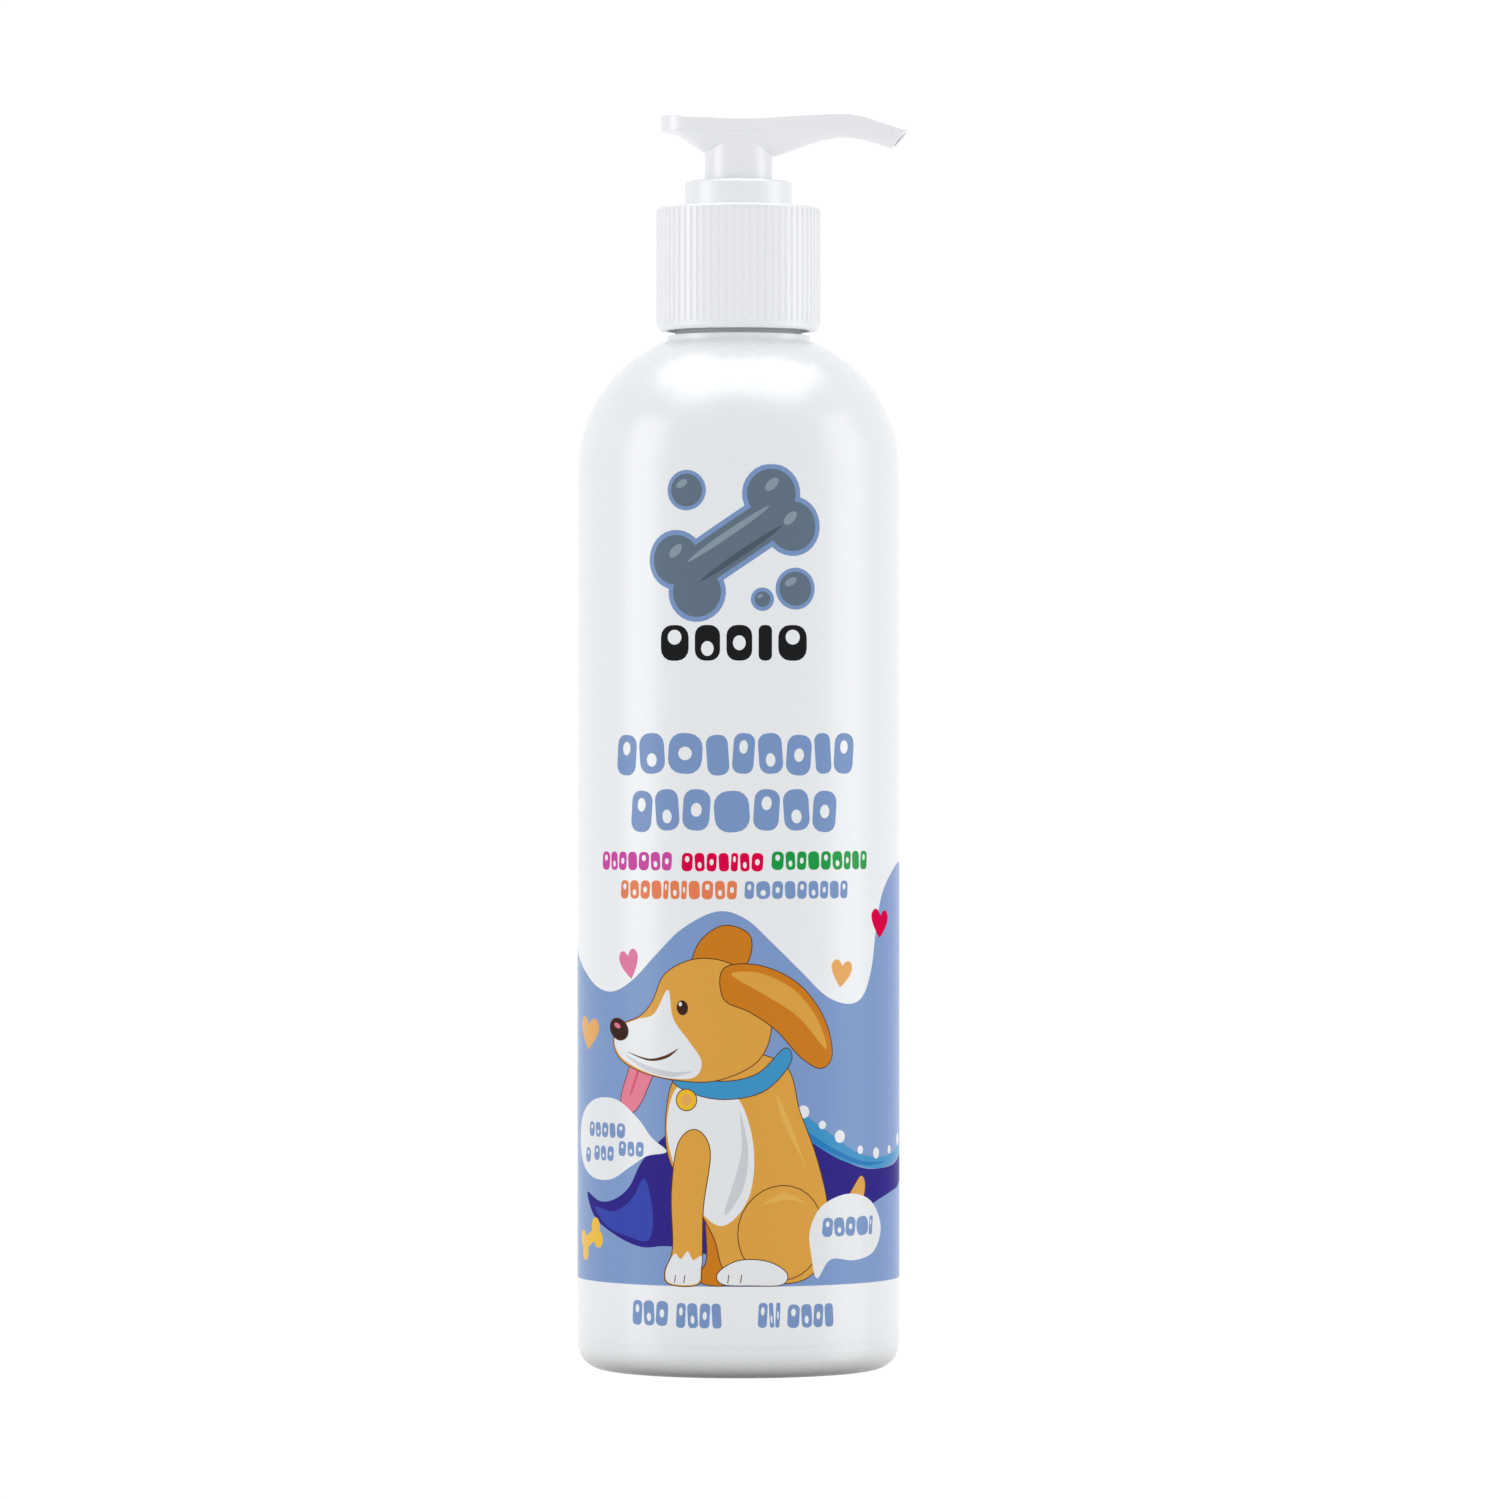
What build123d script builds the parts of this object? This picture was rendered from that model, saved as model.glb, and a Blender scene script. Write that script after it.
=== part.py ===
"""A cylindrical shampoo bottle with a screw-on lotion pump, modelled piece by piece in millimetres.

The origin is on the bottle's axis at the plane it stands on, +Z is up and +X is the way the spout points.
The pump is drawn at the bottom of its stroke, with its twist lock beside its slots.
"""

import os
from math import acos, asin, cos, degrees, radians, sin

from build123d import *

# Bottle body
BODY_R = 22.92
WALL = 1.0
FOOT_FILLET = 3.6
FOOT_RING_R = 17.0
PUSH_UP = 2.0
SHOULDER_Z = 128.5
SHOULDER_R = 19.2
BEAD_R = 10.2
BEAD_TOP_Z = 147.3
SHOULDER_BORE_Z = 150.0

# Small edge breaks shared by several pieces
CHAMFER = 0.3

# Neck and its thread
NECK_R = 8.75
NECK_BORE_R = 7.6
NECK_TOP_Z = 162.0
NECK_ROOT_STEP = 0.5
NECK_ROOT_RISE = 0.9
THREAD_PITCH = 3.175
THREAD_TURNS = 1.5
NECK_THREAD_R = 9.85
NECK_THREAD_Z = 155.0
THREAD_ROOT_WIDTH = 1.6
THREAD_CREST_WIDTH = 0.9
THREAD_OFFSET = 1.45
THREAD_START_ANGLE = 120
THREAD_ROOT_DEPTH = 0.2

# Label film
LABEL_T = 0.08
LABEL_LOW_Z = 4.6
LABEL_HIGH_Z = 128.2
LABEL_GAP = 1.0
LABEL_GAP_REACH = 4.0

# Closure
CAP_R = 11.75
CAP_BAND_R = 11.6
CAP_BORE_R = 10.15
CAP_THREAD_R = 9.05
CAP_LOW_Z = 148.0
CAP_RIB_LOW_Z = 149.0
CAP_PLATE_Z = 164.3
CAP_TOP_Z = 165.6
CAP_HOLE_R = 7.05
CAP_EDGE = 0.45
CAP_BOTTOM_EDGE = 0.6
CAP_STEP = 0.1
RIB_COUNT = 68
GROOVE_R = 0.33

# Lock collar
COLLAR_R = 7.68
COLLAR_NECK_R = 6.9
COLLAR_SLEEVE_R = 6.15
COLLAR_LOW_Z = 165.8
COLLAR_TOP_Z = 169.3
COLLAR_SLEEVE_LOW_Z = 156.9
WELL_R = 5.6
WELL_FLOOR_Z = 159.5
GUIDE_R = 2.75
GUIDE_OUTER_R = 4.1
GUIDE_LOW_Z = 153.6
SNAP_Z = 158.5
SNAP_HALF = 0.3
SNAP_HEIGHT = 0.25
LEDGE_R = 5.05
LEDGE_LOW_Z = 163.0
LEDGE_TOP_Z = 164.5
LEDGE_ANGLE = 100
LEDGE_ROOT = 0.1

# Pump housing
FLANGE_R = 9.5
FLANGE_LOW_Z = 163.0
FLANGE_TOP_Z = 164.15
CUP_R = 7.2
CUP_BORE_R = 6.2
CUP_FLOOR_Z = 156.0
CUP_FLOOR_T = 1.2
CUP_FLOOR_BEVEL = 0.6
BARREL_R = 5.3
BARREL_BORE_R = 4.4
SEAT_STEP_Z = 123.0
BALL_BORE_R = 2.9
CONE_TOP_Z = 119.5
THROAT_Z = 118.0
THROAT_R = 1.4
SOCKET_TOP_Z = 116.5
SOCKET_LOW_Z = 107.0
SOCKET_R = 3.2
VENT_Z = 150.0
VENT_R = 0.5

# Neck gasket and dip tube
GASKET_R = 9.3
GASKET_HOLE_R = 7.7
GASKET_LOW_Z = 162.05
TUBE_R = 2.05
TUBE_BORE_R = 1.35
TUBE_TOP_Z = 116.0
TUBE_LOW_Z = 5.5
TUBE_CUT_RISE = 4.0

# Ball cage, balls and spring
CAGE_R = 4.3
CAGE_TOP_Z = 124.3
CAGE_HOLE_R = 1.3
CAGE_SLOT = 0.8
CAGE_SLOT_REACH = 2.5
INLET_BALL_R = 2.2
OUTLET_BALL_R = 1.1
BALL_GAP = 0.06
SPRING_R = 3.45
SPRING_WIRE_R = 0.38
SPRING_TURNS = 7

# Piston group
PISTON_R = 4.35
PISTON_LOW_Z = 136.1
PISTON_TOP_Z = 142.05
PISTON_WAIST = 0.5
LIP_BEVEL = 0.4
LIP_LENGTH = 1.2
LIP_ROOT = 1.8
STEM_R = 2.6
STEM_BORE_R = 1.5
STEM_LOW_Z = 136.05
STEM_TOP_Z = 171.0
STEM_COUNTERBORE_R = 2.05
STEM_COUNTERBORE_Z = 140.0
STEM_SHOULDER_R = 3.4
STEM_SHOULDER_LOW_Z = 142.15
STEM_SHOULDER_TOP_Z = 143.2
OUTLET_THROAT_R = 0.7
OUTLET_CONE_Z = 170.3
OUTLET_THROAT_LENGTH = 0.8
OUTLET_FUNNEL_LENGTH = 1.6
RETAINER_R = 3.7
RETAINER_BORE_R = 1.2
RETAINER_LOW_Z = 134.8
RETAINER_TOP_Z = 136.0
PLUG_SHORT = 0.2
RUNNING_GAP = 0.05

# Pump head
POST_R = 4.85
POST_LOW_Z = 160.5
POST_TOP_Z = 177.2
SKIRT_BORE_R = 3.95
SKIRT_DEPTH_Z = 168.0
STEM_SOCKET_R = 3.4
LUG_R = 5.45
LUG_LOW_Z = 161.0
LUG_TOP_Z = 162.2
LUG_ANGLE = 40
CHAMBER_R = 1.5
CHAMBER_TOP_Z = 173.6
LUG_ROOT = 0.2
CHANNEL_R = 1.2
CHANNEL_RUN = ((0, 175.7), (7, 176.3), (14.5, 177.35), (19, 176.65), (25.3, 174.6))
PORT_R = 0.9
PORT_TOP_Z = 175.9
HEAD_BACK_X = -11.1
HEAD_BACK_CORNER = 4.6
HEAD_PLAN_WIDTH = 10.6
HEAD_PLAN_MIDDLE_X = 20.0
HEAD_CUT_HEIGHT = 30.0
HEAD_CUT_HALF_WIDTH = 10.0
RIM_CORNER = 0.5
RIM_LEDGE = 0.25
RIM_LEDGE_DROP = 0.12
TIP_TOP = (24.15, 176.75)
TIP_LOW = (21.85, 174.0)
TIP_SKEW = 8.0
TIP_CUT_RISE = 6.0
TIP_CUT_REACH = 12.0

# The head's stations from back to tip: x, top height, keel height, half width, rim depth
HEAD_STATIONS = (
    (-12.0, 178.6, 176.9, 4.6, 1.3),
    (-9.8, 178.6, 176.35, 5.0, 1.75),
    (-8.0, 178.55, 175.5, 5.1, 1.9),
    (-5.5, 178.5, 173.8, 5.15, 1.95),
    (-2.0, 178.35, 172.8, 5.15, 1.95),
    (1.5, 178.3, 172.5, 5.1, 1.85),
    (5.0, 178.5, 172.85, 4.5, 1.6),
    (8.5, 178.8, 174.05, 3.55, 1.45),
    (12.0, 179.05, 175.2, 2.8, 1.4),
    (15.5, 179.1, 175.6, 2.45, 1.4),
    (19.0, 178.4, 174.95, 2.3, 1.4),
    (22.0, 177.4, 174.0, 2.25, 1.4),
    (26.0, 176.1, 172.6, 2.2, 1.4),
)


def save(piece, name):
    """Names a finished piece and writes its STEP file."""
    piece.part.label = name
    export_step(piece.part, f"parts/{name}.step")


def ring_between(low_z, high_z, outer_r, inner_r, mode=Mode.ADD):
    """A plain ring between two heights, added to or cut from the piece in hand."""
    with BuildSketch(Plane.XY.offset(low_z)) as ring:
        Circle(outer_r)
        if inner_r:
            Circle(inner_r, mode=Mode.SUBTRACT)
    extrude(ring.sketch, amount=high_z - low_z, mode=mode)


def thread_ridge(wall_r, crest_r, start_z, start_angle):
    """One trapezoid ridge wound round the axis, rooted a little inside the wall that carries it."""
    rise = THREAD_PITCH * THREAD_TURNS
    side = 1 if crest_r > wall_r else -1
    root_r = wall_r - side * THREAD_ROOT_DEPTH
    half_root = THREAD_ROOT_WIDTH / 2
    half_crest = THREAD_CREST_WIDTH / 2
    with BuildPart() as ridge:
        with BuildLine() as lead:
            Helix(THREAD_PITCH, rise, root_r)
        with BuildSketch(Plane.XZ):
            with BuildLine():
                Polyline(
                    (root_r, -half_root),
                    (crest_r, -half_crest),
                    (crest_r, half_crest),
                    (root_r, half_root),
                    close=True,
                )
            make_face()
        sweep(path=lead.wires()[0], is_frenet=True)
    return ridge.part.rotate(Axis.Z, start_angle).moved(Location((0, 0, start_z)))


os.makedirs("parts", exist_ok=True)

# Bottle: one blown shell, revolved, with the thread on its neck.
shoulder_x = BODY_R - SHOULDER_R
shoulder_angle = degrees(acos((BEAD_R - shoulder_x) / SHOULDER_R))
inner_r = BODY_R - WALL
inner_shoulder = SHOULDER_R - WALL
inner_angle = degrees(acos((NECK_BORE_R - shoulder_x) / inner_shoulder))
foot_x = BODY_R - FOOT_FILLET
inner_foot = FOOT_FILLET - WALL
dome_r = (FOOT_RING_R**2 + PUSH_UP**2) / (2 * PUSH_UP)
dome_z = PUSH_UP - dome_r
dome_angle = degrees(asin(FOOT_RING_R / dome_r))
inner_dome_angle = degrees(acos((WALL - dome_z) / (dome_r + WALL)))
neck_ridge = thread_ridge(NECK_R, NECK_THREAD_R, NECK_THREAD_Z, THREAD_START_ANGLE)

with BuildPart() as bottle:
    with BuildSketch(Plane.XZ):
        with BuildLine():
            CenterArc((0, dome_z), dome_r, 90 - dome_angle, dome_angle)
            Line((FOOT_RING_R, 0), (foot_x, 0))
            CenterArc((foot_x, FOOT_FILLET), FOOT_FILLET, -90, 90)
            Line((BODY_R, FOOT_FILLET), (BODY_R, SHOULDER_Z))
            shoulder = CenterArc((shoulder_x, SHOULDER_Z), SHOULDER_R, 0, shoulder_angle)
            Polyline(
                shoulder @ 1,
                (BEAD_R, BEAD_TOP_Z),
                (NECK_R + NECK_ROOT_STEP, BEAD_TOP_Z),
                (NECK_R, BEAD_TOP_Z + NECK_ROOT_RISE),
                (NECK_R, NECK_TOP_Z - CHAMFER),
                (NECK_R - CHAMFER, NECK_TOP_Z),
                (NECK_BORE_R, NECK_TOP_Z),
                (NECK_BORE_R, SHOULDER_BORE_Z),
            )
            inside = CenterArc((shoulder_x, SHOULDER_Z), inner_shoulder, 0, inner_angle)
            Line((NECK_BORE_R, SHOULDER_BORE_Z), inside @ 1)
            Line((inner_r, SHOULDER_Z), (inner_r, FOOT_FILLET))
            CenterArc((foot_x, FOOT_FILLET), inner_foot, -90, 90)
            inner_dome = CenterArc((0, dome_z), dome_r + WALL, 90 - inner_dome_angle, inner_dome_angle)
            Line((foot_x, WALL), inner_dome @ 0)
            Line((0, PUSH_UP + WALL), (0, PUSH_UP))
        make_face()
    revolve(axis=Axis.Z)
    add(neck_ridge)
save(bottle, "bottle")

# Label: a film wrapped round the body, with a narrow gap at the back.
with BuildPart() as label:
    ring_between(LABEL_LOW_Z, LABEL_HIGH_Z, BODY_R + LABEL_T, BODY_R)
    with BuildSketch(Plane.XY.offset(LABEL_LOW_Z)):
        with Locations((0, BODY_R)):
            Rectangle(LABEL_GAP, LABEL_GAP_REACH)
    extrude(amount=LABEL_HIGH_Z - LABEL_LOW_Z, mode=Mode.SUBTRACT)
save(label, "label")

# Closure: a ribbed screw cap with a hole in its top for the collar.
cap_thread_z = NECK_THREAD_Z - THREAD_OFFSET - THREAD_PITCH / 4
cap_ridge = thread_ridge(CAP_BORE_R, CAP_THREAD_R, cap_thread_z, THREAD_START_ANGLE - 90)

with BuildPart() as closure:
    with BuildSketch(Plane.XZ):
        with BuildLine():
            Line((CAP_BORE_R, CAP_LOW_Z), (CAP_BAND_R - CAP_BOTTOM_EDGE, CAP_LOW_Z))
            band_edge = CenterArc(
                (CAP_BAND_R - CAP_BOTTOM_EDGE, CAP_LOW_Z + CAP_BOTTOM_EDGE),
                CAP_BOTTOM_EDGE,
                -90,
                90,
            )
            Polyline(
                band_edge @ 1,
                (CAP_BAND_R, CAP_RIB_LOW_Z - 2 * CAP_STEP),
                (CAP_R, CAP_RIB_LOW_Z - CAP_STEP),
                (CAP_R, CAP_TOP_Z - CAP_EDGE),
            )
            CenterArc((CAP_R - CAP_EDGE, CAP_TOP_Z - CAP_EDGE), CAP_EDGE, 0, 90)
            Polyline(
                (CAP_R - CAP_EDGE, CAP_TOP_Z),
                (CAP_HOLE_R, CAP_TOP_Z),
                (CAP_HOLE_R, CAP_PLATE_Z),
                (CAP_BORE_R, CAP_PLATE_Z),
                (CAP_BORE_R, CAP_LOW_Z),
            )
        make_face()
    revolve(axis=Axis.Z)
    with BuildSketch(Plane.XY.offset(CAP_RIB_LOW_Z)):
        with PolarLocations(CAP_R + GROOVE_R / 4, RIB_COUNT, start_angle=180 / RIB_COUNT):
            Circle(GROOVE_R)
    extrude(amount=CAP_TOP_Z - CAP_EDGE - CAP_RIB_LOW_Z, mode=Mode.SUBTRACT)
    add(cap_ridge)
save(closure, "closure")

# Lock collar: the ring seen above the closure, its sleeve in the housing and the stem guide.
with BuildPart() as lock_collar:
    with BuildSketch(Plane.XZ):
        with BuildLine():
            Polyline(
                (GUIDE_R, GUIDE_LOW_Z),
                (GUIDE_OUTER_R, GUIDE_LOW_Z),
                (GUIDE_OUTER_R, COLLAR_SLEEVE_LOW_Z),
                (COLLAR_SLEEVE_R, COLLAR_SLEEVE_LOW_Z),
                (COLLAR_SLEEVE_R, SNAP_Z - SNAP_HALF),
                (COLLAR_SLEEVE_R + SNAP_HEIGHT, SNAP_Z),
                (COLLAR_SLEEVE_R, SNAP_Z + SNAP_HALF),
                (COLLAR_SLEEVE_R, FLANGE_TOP_Z + RUNNING_GAP),
                (COLLAR_NECK_R, FLANGE_TOP_Z + RUNNING_GAP),
                (COLLAR_NECK_R, COLLAR_LOW_Z),
                (COLLAR_R, COLLAR_LOW_Z),
                (COLLAR_R, COLLAR_TOP_Z - CHAMFER),
                (COLLAR_R - CHAMFER, COLLAR_TOP_Z),
                (WELL_R + CHAMFER, COLLAR_TOP_Z),
                (WELL_R, COLLAR_TOP_Z - CHAMFER),
                (WELL_R, WELL_FLOOR_Z),
                (GUIDE_R, WELL_FLOOR_Z),
                close=True,
            )
        make_face()
    revolve(axis=Axis.Z)
    for side in (0, 180):
        with BuildSketch(Plane.XZ.rotated((0, 0, side - LEDGE_ANGLE / 2))):
            with Locations(((LEDGE_R + WELL_R + LEDGE_ROOT) / 2, (LEDGE_LOW_Z + LEDGE_TOP_Z) / 2)):
                Rectangle(WELL_R + LEDGE_ROOT - LEDGE_R, LEDGE_TOP_Z - LEDGE_LOW_Z)
        revolve(axis=Axis.Z, revolution_arc=LEDGE_ANGLE)
save(lock_collar, "lock_collar")

# Housing: the pump barrel, hung from its flange, with the inlet seat and the dip tube's socket.
with BuildPart() as housing:
    with BuildSketch(Plane.XZ):
        with BuildLine():
            Polyline(
                (TUBE_R + RUNNING_GAP, SOCKET_LOW_Z),
                (SOCKET_R, SOCKET_LOW_Z),
                (SOCKET_R, THROAT_Z),
                (BARREL_R, SEAT_STEP_Z),
                (BARREL_R, CUP_FLOOR_Z - CUP_FLOOR_T),
                (CUP_R, CUP_FLOOR_Z - CUP_FLOOR_BEVEL),
                (CUP_R, FLANGE_LOW_Z),
                (FLANGE_R, FLANGE_LOW_Z),
                (FLANGE_R, FLANGE_TOP_Z),
                (CUP_BORE_R, FLANGE_TOP_Z),
                (CUP_BORE_R, SNAP_Z + 2 * SNAP_HALF),
                (CUP_BORE_R + SNAP_HEIGHT, SNAP_Z + SNAP_HALF),
                (CUP_BORE_R + SNAP_HEIGHT, SNAP_Z - SNAP_HALF),
                (CUP_BORE_R, SNAP_Z - 2 * SNAP_HALF),
                (CUP_BORE_R, CUP_FLOOR_Z),
                (BARREL_BORE_R, CUP_FLOOR_Z),
                (BARREL_BORE_R, SEAT_STEP_Z),
                (BALL_BORE_R, SEAT_STEP_Z),
                (BALL_BORE_R, CONE_TOP_Z),
                (THROAT_R, THROAT_Z),
                (THROAT_R, SOCKET_TOP_Z),
                (TUBE_R + RUNNING_GAP, SOCKET_TOP_Z),
                close=True,
            )
        make_face()
    revolve(axis=Axis.Z)
    with BuildSketch(Plane.XZ.offset(BARREL_BORE_R - 1)):
        with Locations((0, VENT_Z)):
            Circle(VENT_R)
    extrude(amount=BARREL_R - BARREL_BORE_R + 2, mode=Mode.SUBTRACT)
save(housing, "housing")

# Neck gasket
with BuildPart() as neck_gasket:
    ring_between(GASKET_LOW_Z, FLANGE_LOW_Z, GASKET_R, GASKET_HOLE_R)
save(neck_gasket, "neck_gasket")

# Dip tube, cut at a slant so that it can't seal against the floor of the bottle.
with BuildPart() as dip_tube:
    ring_between(TUBE_LOW_Z, TUBE_TOP_Z, TUBE_R, TUBE_BORE_R)
    with BuildSketch(Plane.XZ):
        Polygon(
            (-TUBE_R - 1, TUBE_LOW_Z - 1),
            (TUBE_R + 1, TUBE_LOW_Z - 1),
            (TUBE_R + 1, TUBE_LOW_Z + TUBE_CUT_RISE),
            align=None,
        )
    extrude(amount=TUBE_R + 1, both=True, mode=Mode.SUBTRACT)
save(dip_tube, "dip_tube")

# Ball cage: the slotted disc that carries the spring and keeps the inlet ball in.
with BuildPart() as ball_cage:
    ring_between(SEAT_STEP_Z, CAGE_TOP_Z, CAGE_R, CAGE_HOLE_R)
    with BuildSketch(Plane.XY.offset(SEAT_STEP_Z)):
        with PolarLocations(0, 3):
            with Locations((CAGE_SLOT_REACH / 2, 0)):
                Rectangle(CAGE_SLOT_REACH, CAGE_SLOT)
    extrude(amount=CAGE_TOP_Z - SEAT_STEP_Z, mode=Mode.SUBTRACT)
save(ball_cage, "ball_cage")

# Balls, each resting just above its 45 degree seat.
seat_reach = 2**0.5
inlet_z = THROAT_Z - THROAT_R + seat_reach * (INLET_BALL_R + BALL_GAP)
outlet_z = OUTLET_CONE_Z - OUTLET_THROAT_R + seat_reach * (OUTLET_BALL_R + BALL_GAP)
for ball_name, ball_r, ball_z in (
    ("inlet_ball", INLET_BALL_R, inlet_z),
    ("outlet_ball", OUTLET_BALL_R, outlet_z),
):
    with BuildPart() as ball:
        with BuildSketch(Plane.XZ):
            with BuildLine():
                ThreePointArc((0, ball_z - ball_r), (ball_r, ball_z), (0, ball_z + ball_r))
                Line((0, ball_z + ball_r), (0, ball_z - ball_r))
            make_face()
        revolve(axis=Axis.Z)
    save(ball, ball_name)

# Return spring, drawn squeezed as the locked pump holds it.
spring_low_z = CAGE_TOP_Z + SPRING_WIRE_R + RUNNING_GAP
spring_high_z = RETAINER_LOW_Z - SPRING_WIRE_R - RUNNING_GAP
with BuildPart() as return_spring:
    with BuildLine() as coil:
        Helix(
            (spring_high_z - spring_low_z) / SPRING_TURNS,
            spring_high_z - spring_low_z,
            SPRING_R,
            center=(0, 0, spring_low_z),
        )
    with BuildSketch(Plane.XZ):
        with Locations((SPRING_R, spring_low_z)):
            Circle(SPRING_WIRE_R)
    sweep(path=coil.wires()[0], is_frenet=True)
save(return_spring, "return_spring")

# Stem: the hollow rod that carries liquid up to the head, with the outlet ball's seat on top.
with BuildPart() as stem:
    with BuildSketch(Plane.XZ):
        with BuildLine():
            Polyline(
                (STEM_COUNTERBORE_R, STEM_LOW_Z),
                (STEM_R, STEM_LOW_Z),
                (STEM_R, STEM_SHOULDER_LOW_Z),
                (STEM_SHOULDER_R, STEM_SHOULDER_LOW_Z),
                (STEM_SHOULDER_R, STEM_SHOULDER_TOP_Z),
                (STEM_R, STEM_SHOULDER_TOP_Z),
                (STEM_R, STEM_TOP_Z),
                (OUTLET_THROAT_R + STEM_TOP_Z - OUTLET_CONE_Z, STEM_TOP_Z),
                (OUTLET_THROAT_R, OUTLET_CONE_Z),
                (OUTLET_THROAT_R, OUTLET_CONE_Z - OUTLET_THROAT_LENGTH),
                (STEM_BORE_R, OUTLET_CONE_Z - OUTLET_FUNNEL_LENGTH),
                (STEM_BORE_R, STEM_COUNTERBORE_Z),
                (STEM_COUNTERBORE_R, STEM_COUNTERBORE_Z),
                close=True,
            )
        make_face()
    revolve(axis=Axis.Z)
save(stem, "stem")

# Piston: a soft sleeve with a sealing lip at each end, free to turn on the stem.
piston_waist_r = PISTON_R - PISTON_WAIST
with BuildPart() as piston:
    with BuildSketch(Plane.XZ):
        with BuildLine():
            Polyline(
                (STEM_R + RUNNING_GAP, PISTON_LOW_Z),
                (PISTON_R - LIP_BEVEL, PISTON_LOW_Z),
                (PISTON_R, PISTON_LOW_Z + LIP_BEVEL),
                (PISTON_R, PISTON_LOW_Z + LIP_LENGTH),
                (piston_waist_r, PISTON_LOW_Z + LIP_ROOT),
                (piston_waist_r, PISTON_TOP_Z - LIP_ROOT),
                (PISTON_R, PISTON_TOP_Z - LIP_LENGTH),
                (PISTON_R, PISTON_TOP_Z - LIP_BEVEL),
                (PISTON_R - LIP_BEVEL, PISTON_TOP_Z),
                (STEM_R + RUNNING_GAP, PISTON_TOP_Z),
                close=True,
            )
        make_face()
    revolve(axis=Axis.Z)
save(piston, "piston")

# Piston retainer: the flanged plug in the stem's foot, which the spring pushes on.
with BuildPart() as piston_retainer:
    ring_between(RETAINER_LOW_Z, RETAINER_TOP_Z, RETAINER_R, RETAINER_BORE_R)
    ring_between(
        RETAINER_TOP_Z,
        STEM_COUNTERBORE_Z - PLUG_SHORT,
        STEM_COUNTERBORE_R - RUNNING_GAP,
        RETAINER_BORE_R,
    )
save(piston_retainer, "piston_retainer")

# Head: the thumb pad and spout in one boat-shaped body, on a hollow post with two lock lugs. The tip's
# slanted cut is turned a little to the front, so that the outlet shows.
tip_half = (TIP_TOP[0] - TIP_LOW[0]) / 2
tip_run = 2 * tip_half / (TIP_TOP[1] - TIP_LOW[1])
skew = radians(TIP_SKEW)
tip_plane = Plane(
    ((TIP_TOP[0] + TIP_LOW[0]) / 2, 0, 0),
    x_dir=(cos(skew), -sin(skew), 0),
    z_dir=(-sin(skew), -cos(skew), 0),
)
with BuildPart() as head:
    for x, top_z, keel_z, half, rim in HEAD_STATIONS:
        corner = min(RIM_CORNER, rim / 2)
        rim_z = top_z - rim
        hull_half = half - RIM_LEDGE
        hull_z = rim_z - RIM_LEDGE_DROP
        with BuildSketch(Plane((x, 0, 0), x_dir=(0, 1, 0), z_dir=(1, 0, 0))):
            with BuildLine():
                EllipticalCenterArc((0, hull_z), hull_half, hull_z - keel_z, 180, arc_size=180)
                Polyline((hull_half, hull_z), (half, rim_z), (half, top_z - corner))
                CenterArc((half - corner, top_z - corner), corner, 0, 90)
                Line((half - corner, top_z), (-half + corner, top_z))
                CenterArc((-half + corner, top_z - corner), corner, 90, 90)
                Polyline((-half, top_z - corner), (-half, rim_z), (-hull_half, hull_z))
            make_face()
    loft()
    with BuildSketch(Plane.XY.offset(POST_LOW_Z)):
        with Locations((HEAD_PLAN_MIDDLE_X, 0)):
            RectangleRounded((HEAD_PLAN_MIDDLE_X - HEAD_BACK_X) * 2, HEAD_PLAN_WIDTH, HEAD_BACK_CORNER)
    extrude(amount=HEAD_CUT_HEIGHT, mode=Mode.INTERSECT)
    with BuildSketch(tip_plane):
        Polygon(
            (-tip_half - TIP_CUT_RISE * tip_run, TIP_LOW[1] - TIP_CUT_RISE),
            (tip_half + TIP_CUT_RISE * tip_run, TIP_TOP[1] + TIP_CUT_RISE),
            (TIP_CUT_REACH, TIP_TOP[1] + TIP_CUT_RISE),
            (TIP_CUT_REACH, TIP_LOW[1] - TIP_CUT_RISE),
            align=None,
        )
    extrude(amount=HEAD_CUT_HALF_WIDTH, both=True, mode=Mode.SUBTRACT)
    ring_between(POST_LOW_Z, POST_TOP_Z, POST_R, 0)
    for side in (90, 270):
        with BuildSketch(Plane.XZ.rotated((0, 0, side - LUG_ANGLE / 2))):
            with Locations(((POST_R + LUG_R - LUG_ROOT) / 2, (LUG_LOW_Z + LUG_TOP_Z) / 2)):
                Rectangle(LUG_R - POST_R + LUG_ROOT, LUG_TOP_Z - LUG_LOW_Z)
        revolve(axis=Axis.Z, revolution_arc=LUG_ANGLE)
    ring_between(POST_LOW_Z, SKIRT_DEPTH_Z, SKIRT_BORE_R, STEM_SOCKET_R, Mode.SUBTRACT)
    ring_between(POST_LOW_Z, STEM_TOP_Z + RUNNING_GAP, STEM_R + RUNNING_GAP, 0, Mode.SUBTRACT)
    ring_between(STEM_TOP_Z, CHAMBER_TOP_Z, CHAMBER_R, 0, Mode.SUBTRACT)
    ring_between(CHAMBER_TOP_Z, PORT_TOP_Z, PORT_R, 0, Mode.SUBTRACT)
    with BuildLine(Plane.XZ) as channel:
        Spline(*CHANNEL_RUN)
    with BuildSketch(Plane(channel.line @ 0, z_dir=channel.line % 0)):
        Circle(CHANNEL_R)
    sweep(path=channel.wires()[0], mode=Mode.SUBTRACT)
save(head, "head")
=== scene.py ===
"""Looks, studio and camera for the shampoo bottle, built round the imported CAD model.

The CAD pieces keep their shapes and get node materials. The label film is replaced by a printed one:
a thin closed mesh wrapped on the same cylinder and divided along the outlines of its inks. The print
is laid out flat, in millimetres: s runs round the body from the front's middle, to the right, and z
is the height.
"""

import math

import bpy
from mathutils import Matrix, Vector
from mathutils.geometry import delaunay_2d_cdt

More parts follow.
